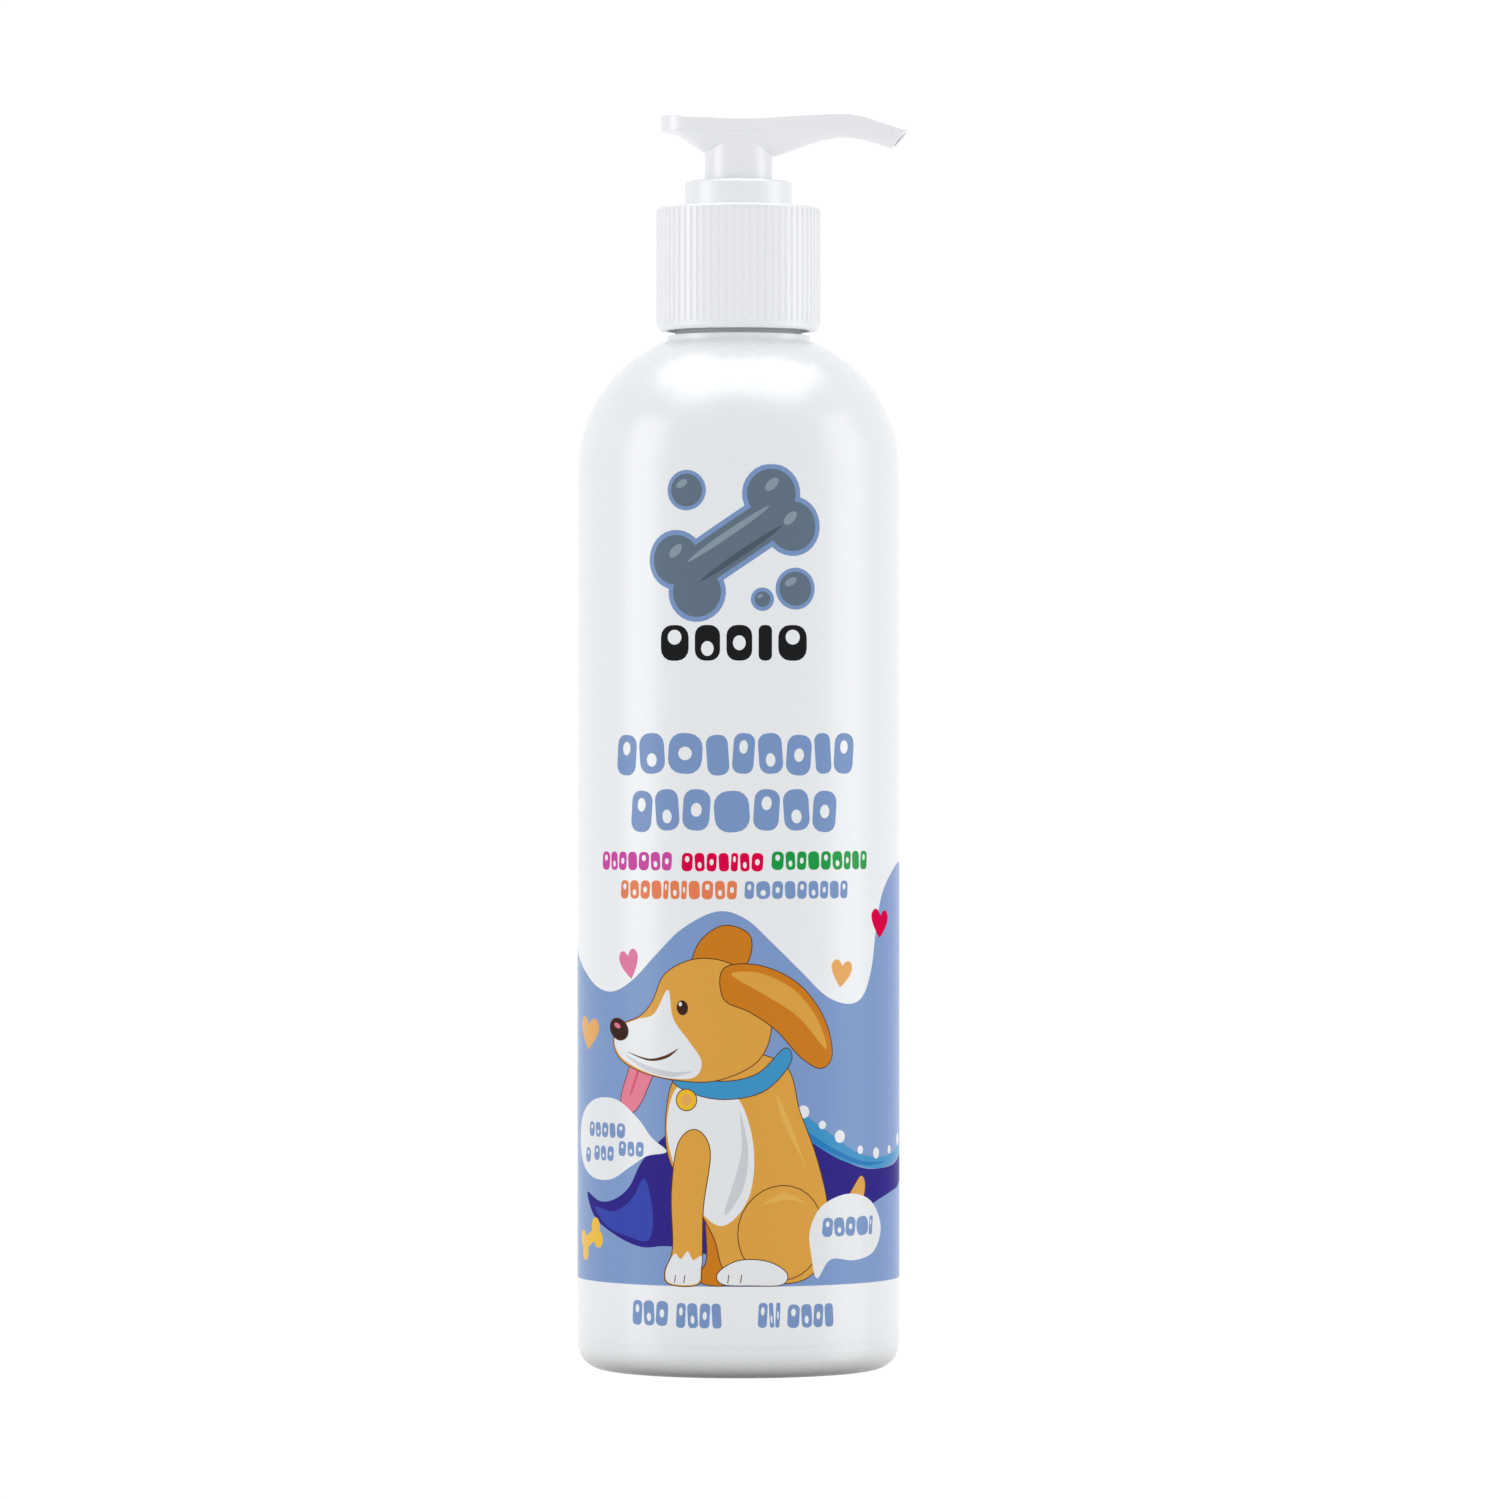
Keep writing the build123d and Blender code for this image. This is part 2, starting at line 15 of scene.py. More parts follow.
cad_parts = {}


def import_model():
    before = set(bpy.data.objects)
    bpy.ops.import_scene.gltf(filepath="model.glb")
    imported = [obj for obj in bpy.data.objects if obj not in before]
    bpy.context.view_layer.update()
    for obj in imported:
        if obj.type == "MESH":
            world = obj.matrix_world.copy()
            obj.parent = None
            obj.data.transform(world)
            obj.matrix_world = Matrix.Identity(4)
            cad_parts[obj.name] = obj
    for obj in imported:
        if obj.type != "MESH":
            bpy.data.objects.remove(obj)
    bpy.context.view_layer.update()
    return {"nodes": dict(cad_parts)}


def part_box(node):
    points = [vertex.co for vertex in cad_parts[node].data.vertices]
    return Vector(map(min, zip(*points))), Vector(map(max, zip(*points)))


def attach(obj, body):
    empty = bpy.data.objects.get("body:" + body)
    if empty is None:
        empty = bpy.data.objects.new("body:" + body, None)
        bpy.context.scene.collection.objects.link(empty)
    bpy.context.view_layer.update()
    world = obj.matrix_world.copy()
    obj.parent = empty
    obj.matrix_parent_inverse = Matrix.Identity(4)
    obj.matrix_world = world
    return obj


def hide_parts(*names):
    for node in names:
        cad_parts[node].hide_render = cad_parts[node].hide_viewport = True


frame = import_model()

# A millimetre in metres; every size from here to the film's mesh is in millimetres
MM = 0.001

# How far the label film's two faces stand off the bottle, and the gap where its ends meet
OUTER_OFF, INNER_OFF = 0.065, 0.005
SEAM = 1.0
# The film's radii, its lowest and highest z, and half its length
FILM_LOW, FILM_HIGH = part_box("label")
BOTTLE_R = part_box("bottle")[1].x / MM
FILM_R = BOTTLE_R + OUTER_OFF
FILM_INNER_R = BOTTLE_R + INNER_OFF
FILM_Z = (FILM_LOW.z / MM, FILM_HIGH.z / MM)
FILM_HALF = math.pi * FILM_R - SEAM / 2

# How far apart the film's points stand, and how near two of them are one
GRID_S, GRID_Z = 1.2, 2.4
WELD = 1e-4

# Width of the drawn lines
LINE = 0.14

# Printed colours, as 8-bit sRGB
INKS = {
    "white": (246, 248, 250),
    "band": (132, 161, 210),
    "periwinkle": (129, 157, 205),
    "slate": (104, 121, 137),
    "slate_light": (142, 159, 172),
    "slate_dark": (82, 97, 112),
    "black": (34, 35, 37),
    "magenta": (214, 80, 172),
    "crimson": (230, 8, 76),
    "green": (24, 160, 70),
    "orange": (242, 134, 88),
    "amber": (240, 176, 96),
    "yellow": (248, 196, 44),
    "pink": (236, 128, 170),
    "rose": (238, 120, 140),
    "indigo": (55, 45, 142),
    "indigo_light": (62, 77, 181),
    "cyan": (65, 154, 208),
    "cyan_dark": (40, 128, 196),
    "tan": (231, 169, 70),
    "tan_dark": (214, 130, 30),
    "tan_light": (238, 184, 88),
    "fur_white": (240, 242, 244),
    "fur_shade": (212, 216, 222),
    "nose": (66, 44, 40),
    "tongue": (240, 132, 156),
    "tongue_dark": (222, 96, 128),
    "outline": (96, 62, 40),
    "print_grey": (150, 160, 176),
}


def linear(rgb):
    """8-bit sRGB as a linear colour with alpha."""
    channels = [c / 255 for c in rgb]
    return (*[c / 12.92 if c <= 0.04045 else ((c + 0.055) / 1.055) ** 2.4 for c in channels], 1)


# ---------------------------------------------------------------- outlines


def turned(points, tilt, s, z):
    """Points turned by tilt degrees about the origin and then moved to (s, z)."""
    c, n = math.cos(math.radians(tilt)), math.sin(math.radians(tilt))
    return [(s + c * a - n * b, z + n * a + c * b) for a, b in points]


def smooth(points, steps=6, closed=True):
    """A Catmull-Rom curve through the points."""
    count = len(points)
    out = []
    for i in range(count if closed else count - 1):
        if closed:
            p = [points[(i + k) % count] for k in (-1, 0, 1, 2)]
        else:
            p = [points[min(max(i + k, 0), count - 1)] for k in (-1, 0, 1, 2)]
        for j in range(steps):
            t = j / steps
            weights = (
                (-t + 2 * t * t - t**3) / 2,
                (2 - 5 * t * t + 3 * t**3) / 2,
                (t + 4 * t * t - 3 * t**3) / 2,
                (t**3 - t * t) / 2,
            )
            out.append(tuple(sum(w * q[k] for w, q in zip(weights, p)) for k in (0, 1)))
    if not closed:
        out.append(tuple(points[-1]))
    return out


def ellipse(s, z, half_s, half_z, tilt=0, steps=28):
    """An ellipse about (s, z)."""
    turn = [2 * math.pi * i / steps for i in range(steps)]
    return turned([(half_s * math.cos(a), half_z * math.sin(a)) for a in turn], tilt, s, z)


def rounded(s, z, width, height, corner, tilt=0, steps=4):
    """A rectangle with round corners."""
    corner = min(corner, width / 2 - 0.01, height / 2 - 0.01)
    out = []
    for k, (u, v) in enumerate(((1, 1), (-1, 1), (-1, -1), (1, -1))):
        for j in range(steps + 1):
            a = math.pi / 2 * (k + j / steps)
            out.append(
                (
                    u * (width / 2 - corner) + corner * math.cos(a),
                    v * (height / 2 - corner) + corner * math.sin(a),
                )
            )
    return turned(out, tilt, s, z)


def heart(s, z, width, height, tilt=0):
    """A heart about (s, z), from its notch down the right side and up the left."""
    half = [(0, 0.28), (0.16, 0.46), (0.36, 0.47), (0.5, 0.27), (0.42, -0.02), (0.2, -0.32), (0, -0.52)]
    right = smooth(half, 4, closed=False)
    left = [(-a, b) for a, b in reversed(right[1:-1])]
    return turned([(a * width, b * height) for a, b in right + left], tilt, s, z)


def signed_area(points):
    """Twice the area, positive for an outline that runs counter-clockwise."""
    return sum(a[0] * b[1] - b[0] * a[1] for a, b in zip(points, points[1:] + points[:1]))


def grown(points, amount):
    """An outline moved outward by amount."""
    count = len(points)
    side = 1 if signed_area(points) > 0 else -1
    out = []
    for i, (a, b) in enumerate(points):
        before, after = points[i - 1], points[(i + 1) % count]
        along = Vector((after[0] - before[0], after[1] - before[1])).normalized()
        out.append((a + side * amount * along.y, b - side * amount * along.x))
    return out


def bone(s, z, length, shaft, knob, tilt, extra=0.0):
    """A plain bone with two knobs at each end, as overlapping outlines grown by extra all round."""
    reach = length / 2 - knob
    spread = knob * 0.78
    parts = [rounded(0, 0, 2 * reach, shaft + 2 * extra, shaft * 0.3, steps=6)]
    for along in (-reach, reach):
        for across in (-spread, spread):
            parts.append(ellipse(along, across, knob + extra, knob + extra))
    return [turned(part, tilt, s, z) for part in parts]


# ---------------------------------------------------------------- the print


class Print:
    """Ink outlines from the lowest to the topmost."""

    def __init__(self):
        self.layers = []

    def lay(self, ink, outline):
        """One outline filled with ink, over all that is there."""
        self.layers.append((ink, outline))

    def lined(self, ink, outline):
        """An outline filled with ink inside a thin brown line."""
        self.lay("outline", grown(outline, LINE))
        self.lay(ink, outline)

    def lay_all(self, ink, outlines):
        """Several outlines of one ink."""
        for outline in outlines:
            self.lay(ink, outline)

    def word(self, ink, left, right, z, shares, height, gap=0.3, lean=3, bounce=0.0, hole=0.4):
        """A word's stand-in from left to right: a rounded block for each share of the width.

        Three blocks of every four have a hole, above, below and at the middle, unless hole is 0.
        """
        unit = (right - left - gap * (len(shares) - 1)) / sum(shares)
        at = left
        for i, share in enumerate(shares):
            width = share * unit
            tilt = lean * (1 if i % 2 else -1)
            middle, level = at + width / 2, z + bounce * (1 if i % 3 else -1)
            self.lay(ink, rounded(middle, level, width, height, min(width, height) * 0.4, tilt))
            if hole and i % 4 != 3:
                raised = (0.16, -0.16, 0.0)[i % 4] * height
                half_s, half_z = width * hole / 2, height * hole * 0.42
                self.lay("white", ellipse(middle, level + raised, half_s, half_z, tilt, 16))
            at += width + gap


# The foot of the band, and its wavy top all round the film
BAND_LOW = 13.1
WAVE = smooth([
    (-74, 64), (-66, 56), (-58, 52.5), (-50, 56.5), (-43, 62), (-37, 61.5), (-33, 59.2), (-28, 56.6),
    (-24, 54.7), (-20, 54.2), (-16, 56), (-12, 59.6), (-8, 63.2), (-3, 65.6), (1, 64.6), (5, 61),
    (9, 57.2), (13, 53.7), (17, 52.5), (20, 53.6), (22, 57.5), (23.2, 63), (25, 68), (29, 71.2),
    (34, 72.2), (41, 70), (49, 66), (58, 66.5), (66, 67.5), (74, 64),
], closed=False)


def band(ink):
    """The wavy blue band round the whole film."""
    end = FILM_HALF + 1
    ink.lay("band", WAVE + [(end, BAND_LOW), (-end, BAND_LOW)])


def emblem(ink):
    """A glossy slate bone with a periwinkle rim, and bubbles beside it."""
    middle, length, shaft, knob, tilt = (-0.6, 117.2), 23.5, 5.6, 3.5, 34
    ink.lay_all("periwinkle", bone(*middle, length, shaft, knob, tilt, 0.7))
    ink.lay_all("slate", bone(*middle, length, shaft, knob, tilt))
    for rise, shade in ((1.5, "slate_light"), (-1.8, "slate_dark")):
        ink.lay(shade, turned(ellipse(0, rise, 7.0, 0.45), tilt, *middle))
    for along, across in ((9.0, 3.8), (8.6, -1.6), (-7.6, 3.8)):
        ink.lay("slate_light", turned(ellipse(along, across, 1.2, 0.65, 10, 18), tilt, *middle))
    for s, z, r in ((-7.4, 124.6, 2.3), (8.2, 110.8, 2.4), (3.4, 109.3, 1.1)):
        ink.lay("periwinkle", ellipse(s, z, r + 0.55, r + 0.55))
        ink.lay("slate", ellipse(s, z, r, r))
        ink.lay("slate_light", ellipse(s - r * 0.3, z + r * 0.4, r * 0.4, r * 0.22, 30, 16))


def titles(ink):
    """Blocks in place of the lettering."""
    ink.word("black", -11.3, 9.9, 103.2, (1.0, 0.85, 0.85, 0.45, 1.0), 5.0, 0.9, 0, 0, 0.5)
    first = (3.5, 4.0, 4.9, 3.0, 2.9, 3.3, 3.6, 2.5, 3.4)
    second = (3.5, 3.6, 3.9, 4.9, 3.6, 3.8, 3.8)
    ink.word("periwinkle", -19.1, 17.9, 87.6, first, 5.7, 0.6, 4, 0.12)
    ink.word("periwinkle", -16.3, 14.7, 79.7, second, 5.8, 0.6, 4, 0.12)
    ink.word("magenta", -22.6, -9.6, 72.6, (1.4, 1.1, 1.2, 1.3, 1.4, 1.2, 1.2), 2.6)
    ink.word("crimson", -8.1, 3.5, 72.5, (1.5, 1.3, 1.3, 1.3, 0.9, 1.2, 1.5), 2.6)
    ink.word("green", 4.7, 20.8, 72.7, (1.5, 1.2, 1.2, 1.5, 1.4, 1.5, 1.1, 1.2, 1.2), 2.6)
    ink.word("orange", -18.4, -0.2, 68.6, (1.3, 1.4, 1.4, 1.4, 0.7, 1.2, 0.7, 1.4, 1.4, 1.2, 1.2), 2.6)
    ink.word("periwinkle", 0.9, 16.8, 68.6, (1.2, 1.8, 1.4, 1.4, 1.3, 1.4, 1.2, 1.4, 1.2), 2.5)
    ink.word("periwinkle", -16.1, -10.2, 9.2, (1.5, 1.6, 1.7), 3.5)
    ink.word("periwinkle", -8.9, -2.4, 9.0, (1.7, 1.8, 1.8, 1.6), 3.5)
    ink.word("periwinkle", 2.8, 5.9, 9.1, (1.9, 0.9, 0.9), 3.5)
    ink.word("periwinkle", 7.0, 14.2, 8.9, (1.9, 1.7, 1.6, 1.5), 3.3)


def wave(ink):
    """A rolling indigo wave with a cyan crest, behind the dog."""
    ink.lay("indigo", smooth([
        (-27.5, 25.6), (-23.5, 24.5), (-19.9, 24.9), (-16.8, 26.8), (-14, 31), (-8, 36), (0, 39.5),
        (5.3, 37.6), (10.5, 34), (15.6, 30.8), (20, 29.3), (24.5, 29.1), (30, 29.6), (36, 31.5),
        (44, 35.5), (40, 30), (33, 26.5), (28, 25.6), (22.6, 24.3), (17, 21.5), (12, 18.9), (7, 17.4),
        (0, 16.8), (-9.3, 18.6), (-14.6, 18.4), (-20.2, 20.1), (-25.2, 22.4),
    ]))
    ink.lay("indigo_light", smooth([
        (-24.8, 23.6), (-20, 23.2), (-16.4, 25), (-14, 28), (-12.6, 23), (-13.4, 19.4), (-17, 19.8),
        (-21.5, 21),
    ]))
    ink.lay("cyan", smooth([
        (-4.5, 39), (1.6, 42.1), (5.3, 40), (11.5, 35.8), (17.7, 32), (22.6, 30.8), (28, 31), (34, 32.6),
        (45, 38), (38, 33), (33, 30.6), (27, 29.4), (22, 29.2), (15.6, 30.6), (10, 33.6), (5.3, 36.7),
        (1.4, 38.2),
    ]))
    ink.lay("cyan_dark", smooth([
        (3, 39), (8, 36), (14, 32.4), (20, 30.3), (26, 30), (20, 29.7), (14, 31.6), (8, 35),
    ]))


def foam(ink):
    """Small round flecks along the crest."""
    flecks = [
        (9.4, 37.5, 0.9), (12.4, 35.6, 0.6), (15.4, 33.9, 0.9), (19.4, 31.9, 0.6), (23.2, 31.3, 0.8),
        (27.4, 31.6, 0.6), (32, 32.9, 0.9), (37, 34.9, 1.0),
    ]
    for s, z, r in flecks:
        ink.lay("fur_white", ellipse(s, z, r, r, steps=20))


def dog_far_side(ink):
    """The far ear, the tail and the far front leg."""
    ink.lined("tan_dark", smooth([
        (-6.5, 57), (-5.5, 61.2), (-2, 63.6), (1.6, 62.2), (1.2, 58.4), (-2, 56.4),
    ]))
    ink.lined("tan", smooth([
        (9, 17.5), (14, 17.8), (18.4, 21.4), (20.4, 26.4), (19.6, 28.2), (17.6, 26.2), (14.6, 22.4),
        (9.6, 21.4),
    ]))
    ink.lined("tan_dark", smooth([
        (-4, 33), (-4.6, 24), (-4.4, 17), (-5.6, 14.8), (-4.8, 13.5), (-1.4, 13.5), (-0.8, 16),
        (-0.6, 24), (1, 32),
    ]))


def dog_body(ink):
    """The trunk and its white chest."""
    ink.lined("tan", smooth([
        (-8.4, 43), (-10.4, 37.5), (-10, 31), (-6.5, 25.5), (-3.4, 20), (-1.8, 15.4), (3, 13.7),
        (9.4, 14), (12.8, 17.6), (13.2, 24), (11.4, 31), (8.8, 37.5), (6.6, 44), (-1, 46),
    ]))
    ink.lay("tan_light", smooth([(5.5, 40), (8.6, 33), (11, 26), (9.6, 30), (6.4, 36)]))
    ink.lay("fur_white", smooth([
        (-8.2, 41.5), (-10.3, 36.5), (-9.4, 30.5), (-6.0, 24.4), (-2.2, 21.6), (1.4, 25.4), (2.2, 32),
        (0.6, 38.4), (-2.4, 41),
    ]))
    ink.lay("fur_shade", smooth([(-2.0, 23.2), (0.6, 26.6), (1.4, 32), (0.2, 37.6), (0.4, 31.6)]))


def dog_legs(ink):
    """The near front leg, the haunch and the paws with their toe lines."""
    ink.lined("tan", smooth([
        (-8.6, 33), (-9.6, 26), (-9.4, 18.4), (-10.6, 15.2), (-10, 13.4), (-5.8, 13.4), (-5.2, 16),
        (-5, 24), (-4, 32), (-6, 35),
    ]))
    ink.lay("fur_white", smooth([
        (-9.2, 17.6), (-10.5, 15.2), (-9.9, 13.5), (-5.9, 13.5), (-5.3, 15.6), (-5.2, 17.4),
        (-6.4, 16.8), (-7.2, 18), (-8.2, 16.9),
    ]))
    ink.lined("tan", ellipse(6.2, 20.6, 6.2, 6.6, -12))
    ink.lay("tan_light", smooth([
        (3.4, 24.6), (6.6, 26.2), (9.8, 24.6), (8.2, 25.1), (6.4, 25.2), (4.6, 24.8),
    ]))
    ink.lined("fur_white", smooth([
        (-2.8, 15), (-2.2, 13.5), (2, 13.3), (6.2, 13.4), (6.8, 15), (4, 16.6), (0, 16.7),
    ]))
    for s, z, length in ((-1.4, 14.2, 1.2), (0.4, 14.2, 1.2), (-9.1, 14.1, 1.1), (-7.7, 14.1, 1.1)):
        ink.lay("outline", rounded(s, z, LINE, length, LINE / 2, -8))


def dog_collar(ink):
    """A plain collar with a round tag."""
    ink.lined("cyan", smooth([
        (-9.2, 43.4), (-8.8, 41.2), (-3, 39.4), (3.4, 40.4), (7.4, 44.4), (6.6, 46.4), (2.6, 42.8),
        (-3, 41.8),
    ]))
    ink.lined("yellow", ellipse(-7.4, 39.2, 1.45, 1.45))
    ink.lay("amber", ellipse(-7.4, 39.2, 0.8, 0.8))


def dog_head(ink):
    """The tongue, the head with its muzzle, and the near ear."""
    ink.lined("tongue", smooth([
        (-15.6, 45.6), (-17.2, 42.4), (-18.4, 39.2), (-17.6, 37.4), (-15.6, 37.6), (-13.6, 40.6),
        (-12.2, 44.6),
    ]))
    ink.lay("tongue_dark", smooth([
        (-14.8, 44.6), (-15.9, 41.8), (-16.8, 39.4), (-16.2, 40.2), (-15.2, 42.4), (-14.3, 44.6),
    ]))
    ink.lined("tan", smooth([
        (-1, 58.2), (3.4, 54.6), (4.6, 49.2), (2.6, 44.6), (-3, 42), (-9, 42), (-14.4, 43),
        (-18.6, 44.8), (-20, 47.2), (-18.6, 49.4), (-14.8, 50.8), (-12.6, 53), (-10.6, 56.8), (-6, 58.9),
    ]))
    ink.lay("fur_white", smooth([
        (-19.8, 47.2), (-18.5, 49.2), (-15.2, 50.4), (-12.4, 51.2), (-10.2, 54.6), (-9.4, 50.6),
        (-7, 47.4), (-5.2, 44.6), (-6.2, 42.4), (-10, 42.2), (-14.4, 43.2), (-18.4, 45),
    ]))
    ink.lay("fur_shade", smooth([
        (-17.6, 45.4), (-13.6, 43.9), (-9.6, 43.1), (-6.4, 43.2), (-9.8, 42.4), (-14, 43.3),
    ]))
    ink.lay("outline", smooth([
        (-17.2, 45.8), (-13.4, 44.6), (-10.4, 45), (-8.6, 46.4), (-10.6, 45.4), (-13.4, 44.9),
    ]))
    ink.lined("nose", ellipse(-18.9, 48.9, 1.9, 1.4, -20))
    ink.lay("rose", ellipse(-19.2, 49.4, 0.7, 0.35, -20, 14))
    ink.lay("nose", ellipse(-8.0, 52.1, 0.85, 1.05, 8))
    ink.lay("fur_white", ellipse(-8.3, 52.6, 0.25, 0.3, 0, 14))
    ink.lined("tan_dark", smooth([
        (-2, 57.6), (3, 58), (8.6, 55.4), (12.6, 50.6), (14, 45.6), (12.2, 43.6), (9, 45.2), (5.4, 49),
        (1.6, 51.6), (-2, 53.4),
    ]))
    ink.lay("tan", smooth([
        (-1, 56.8), (3, 57), (8, 54.6), (11.6, 50.4), (13, 46.2), (8.6, 50.8), (3.6, 54),
    ]))


def dog(ink):
    """A plain sitting dog, facing left."""
    dog_far_side(ink)
    dog_body(ink)
    dog_legs(ink)
    dog_collar(ink)
    dog_head(ink)


def bubbles(ink):
    """White foam bubbles with blocks in place of lettering."""
    ink.lay("fur_white", smooth([
        (-31, 33), (-29.6, 36.4), (-25, 38.8), (-19.5, 39), (-15.4, 36.6), (-12.8, 33.8), (-10.4, 31.9),
        (-13.6, 31.2), (-16.6, 29.6), (-20.6, 27.7), (-25.6, 27.8), (-29.6, 29.8),
    ]))
    words = [(-26.6, -17.6, 34.6, 5), (-28, -26.2, 30.9, 1), (-25, -20, 31.3, 3), (-18.9, -14.2, 32.1, 3)]
    for left, right, z, count in words:
        ink.word("periwinkle", left, right, z, [1.2, 1, 1.1, 0.9, 1.2][:count], 2.1, 0.35, 5, 0, 0.35)
    ink.lay("fur_white", smooth([
        (10.4, 20.9), (12.4, 24.3), (17, 25.8), (21.8, 24.6), (24.5, 20.9), (22.6, 17.5), (18.2, 16.4),
        (13.8, 16.7), (11.5, 14.1), (10.6, 17.4),
    ]))
    ink.word("periwinkle", 12.4, 22.2, 21.2, (1.5, 1.6, 1.6, 2.2, 0.7), 2.7, 0.25, 6, 0, 0.35)


def motifs(ink):
    """Hearts and small bones scattered over the band."""
    for name, s, z, w, h, tilt in (
        ("pink", -16.8, 58.1, 3.6, 4.1, 12),
        ("amber", 15.7, 56.8, 3.8, 3.8, -8),
        ("crimson", 24.3, 63.7, 4.9, 4.0, -6),
        ("amber", -26.9, 48.1, 6.4, 4.5, -4),
        ("pink", 46, 55, 3.6, 4.4, 12),
        ("amber", 58, 48, 4, 4.6, -10),
        ("crimson", -52, 44, 3.6, 4.2, 8),
        ("pink", -44, 54, 3.4, 4.2, -10),
    ):
        ink.lay(name, heart(s, z, w, h, tilt))
    for s, z, tilt in ((-26.5, 19.0, 24), (52, 22, -20), (-56, 24, 30)):
        ink.lay_all("yellow", bone(s, z, 7.4, 1.7, 1.25, tilt))


def back_panel(ink):
    """Two columns of plain grey blocks at the back, where the directions would be printed."""
    top, pitch = 112, 3.4
    height, corner, gap = 1.25, 0.6, 0.9
    for left in (46.5, -66.5):
        for row in range(9):
            z = top - row * pitch
            at = left
            for i in range(5 if row % 3 != 2 else 3):
                width = 2.2 + ((i * 7 + row * 5) % 4) * 0.7
                ink.lay("print_grey", rounded(at + width / 2, z, width, height, corner))
                at += width + gap


def printed():
    """Every layer of the print, lowest first."""
    ink = Print()
    band(ink)
    emblem(ink)
    titles(ink)
    wave(ink)
    foam(ink)
    dog(ink)
    bubbles(ink)
    motifs(ink)
    back_panel(ink)
    return ink.layers


# ---------------------------------------------------------------- the film's mesh


def wrap(s, z, radius):
    """A point of the flat print on the cylinder, in metres."""
    a = s / FILM_R
    return (radius * math.sin(a) * MM, -radius * math.cos(a) * MM, z * MM)


def film_grid():
    """Points all over the film, so that its faces follow the cylinder."""
    columns = int(2 * FILM_HALF / GRID_S)
    rows = int((FILM_Z[1] - FILM_Z[0]) / GRID_Z)
    step_s, step_z = 2 * FILM_HALF / columns, (FILM_Z[1] - FILM_Z[0]) / rows
    return [
        (-FILM_HALF + step_s * (i + (0.5 if j % 2 else 0)), FILM_Z[0] + step_z * j)
        for j in range(1, rows)
        for i in range(1, columns)
    ]


def clipped(outline):
    """An outline kept within the film and run counter-clockwise."""
    low, high = FILM_Z
    kept = [(min(max(s, -FILM_HALF), FILM_HALF), min(max(z, low), high)) for s, z in outline]
    return kept if signed_area(kept) > 0 else kept[::-1]


def divided(outline):
    """An outline with its long edges cut short enough to bend round the bottle."""
    out = []
    for (a, b), (c, d) in zip(outline, outline[1:] + outline[:1]):
        pieces = max(1, math.ceil(abs(c - a) / GRID_S))
        out += [(a + (c - a) * i / pieces, b + (d - b) * i / pieces) for i in range(pieces)]
    return out


def film_edge():
    """The film's own outline."""
    steps = int(2 * FILM_HALF / GRID_S)
    bottom = [(-FILM_HALF + 2 * FILM_HALF * i / steps, FILM_Z[0]) for i in range(steps + 1)]
    top = [(-a, FILM_Z[1]) for a, _ in bottom]
    return bottom + top


def holds(outline, s, z):
    """True when (s, z) lies inside the outline."""
    inside = False
    for (a, b), (c, d) in zip(outline, outline[1:] + outline[:1]):
        if (b > z) != (d > z) and s < a + (z - b) * (c - a) / (d - b):
            inside = not inside
    return inside


def topmost(shapes, s, z):
    """The ink seen at (s, z); shapes are (ink, outline, lowest s, highest s, lowest z, highest z)."""
    for ink, outline, s0, s1, z0, z1 in reversed(shapes):
        if s0 < s < s1 and z0 < z < z1 and holds(outline, s, z):
            return ink
    return "white"


def flat_film(layers):
    """The film divided along every outline: flat points, triangles and the ink of each triangle."""
    shapes = []
    for ink, outline in layers:
        kept = divided(clipped(outline))
        across, up = [p[0] for p in kept], [p[1] for p in kept]
        shapes.append((ink, kept, min(across), max(across), min(up), max(up)))
    outlines = [film_edge()] + [shape[1] for shape in shapes]
    points, loops = [], []
    for outline in outlines:
        loops.append(list(range(len(points), len(points) + len(outline))))
        points += [Vector(p) for p in outline]
    points += [Vector(p) for p in film_grid()]
    found = delaunay_2d_cdt(points, [], loops, 1, WELD, False)
    flat, triangles = found[0], found[2]
    middles = [(flat[a] + flat[b] + flat[c]) / 3 for a, b, c in triangles]
    return flat, triangles, [topmost(shapes, p.x, p.y) for p in middles]


def film_faces(flat, triangles):
    """The film's outer and inner faces, and the rims that join them; inner points follow the outer ones."""
    count = len(flat)
    outer = []
    for a, b, c in triangles:
        u, v = flat[b] - flat[a], flat[c] - flat[a]
        outer.append((a, b, c) if u.x * v.y - u.y * v.x > 0 else (a, c, b))
    inner = [(a + count, c + count, b + count) for a, b, c in outer]
    edges = dict.fromkeys(edge for face in outer for edge in zip(face, face[1:] + face[:1]))
    rims = [(b, a, a + count, b + count) for a, b in edges if (b, a) not in edges]
    return outer, inner, rims


def corner_normals(verts, outer, inner, rims):
    """A normal for each face's corner: radial on the two skins, flat on the rims."""
    normals = []
    for faces, side in ((outer, 1), (inner, -1)):
        for face in faces:
            normals += [side * Vector((*verts[i][:2], 0)).normalized() for i in face]
    for face in rims:
        a, b, c = (Vector(verts[i]) for i in face[:3])
        normals += [(b - a).cross(c - b).normalized()] * len(face)
    return normals


